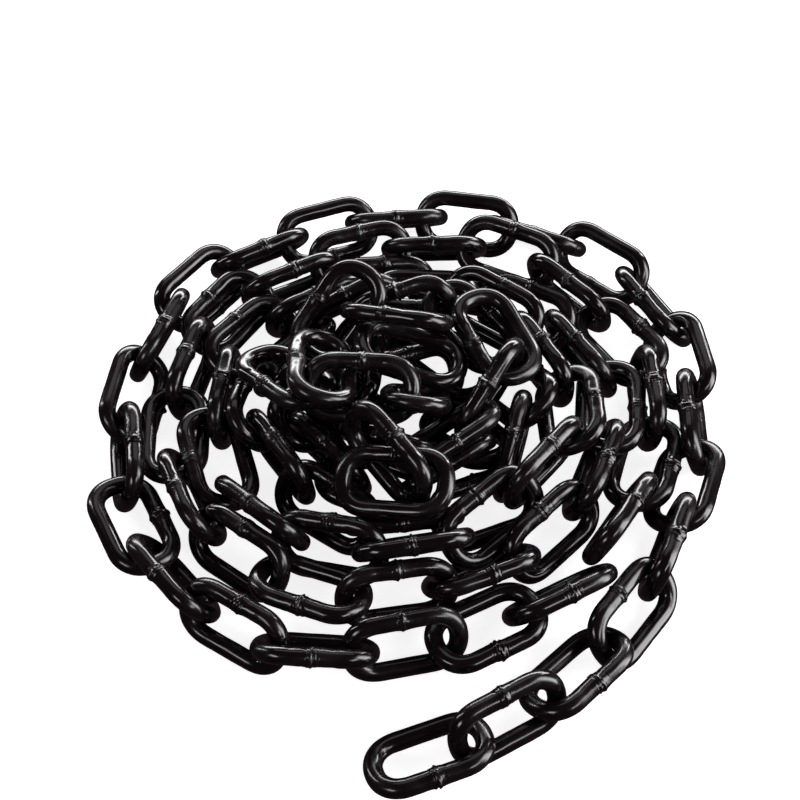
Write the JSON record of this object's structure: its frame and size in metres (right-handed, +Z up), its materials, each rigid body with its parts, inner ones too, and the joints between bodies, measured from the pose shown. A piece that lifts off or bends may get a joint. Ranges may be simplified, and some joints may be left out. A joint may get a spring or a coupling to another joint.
{
  "type": "heap of welded link chain",
  "caption": "Length of black enamelled welded steel chain, laid as a loose flat coil with one end led out, for tying down, securing or hanging things by its end links.",
  "frame": {"origin": "centre of the heap's bounding box, on the floor under it", "axes": "+Z up; +Y from the free end's side of the heap to its back; +X to the right of that view"},
  "size_m": [0.241, 0.2692, 0.0535],
  "materials": {
    "black_steel": "glossy black enamel over welded mild steel, smooth with shallow dents, weld seams bare in flecks"
  },
  "bodies": {
    "root": {"link_001": "black_steel", "link_002": "black_steel", "link_003": "black_steel", "link_004": "black_steel", "link_005": "black_steel", "link_006": "black_steel", "link_007": "black_steel", "link_008": "black_steel", "link_009": "black_steel", "link_010": "black_steel", "link_011": "black_steel", "link_012": "black_steel", "link_013": "black_steel", "link_014": "black_steel", "link_015": "black_steel", "link_016": "black_steel", "link_017": "black_steel", "link_018": "black_steel", "link_019": "black_steel", "link_020": "black_steel", "link_021": "black_steel", "link_022": "black_steel", "link_023": "black_steel", "link_024": "black_steel", "link_025": "black_steel", "link_026": "black_steel", "link_027": "black_steel", "link_028": "black_steel", "link_029": "black_steel", "link_030": "black_steel", "link_031": "black_steel", "link_032": "black_steel", "link_033": "black_steel", "link_034": "black_steel", "link_035": "black_steel", "link_036": "black_steel", "link_037": "black_steel", "link_038": "black_steel", "link_039": "black_steel", "link_040": "black_steel", "links_041_to_043": "black_steel", "links_044_to_046": "black_steel", "links_047_to_049": "black_steel", "links_050_to_052": "black_steel", "links_053_to_055": "black_steel", "links_056_to_058": "black_steel", "links_059_to_061": "black_steel", "links_062_to_064": "black_steel", "links_065_to_067": "black_steel", "links_068_to_070": "black_steel", "links_071_to_073": "black_steel", "links_074_to_076": "black_steel", "links_077_to_079": "black_steel", "links_080_to_082": "black_steel", "links_083_to_085": "black_steel", "links_086_to_088": "black_steel", "links_089_to_091": "black_steel", "links_092_to_094": "black_steel", "links_095_to_097": "black_steel"}
  },
  "joints": []
}
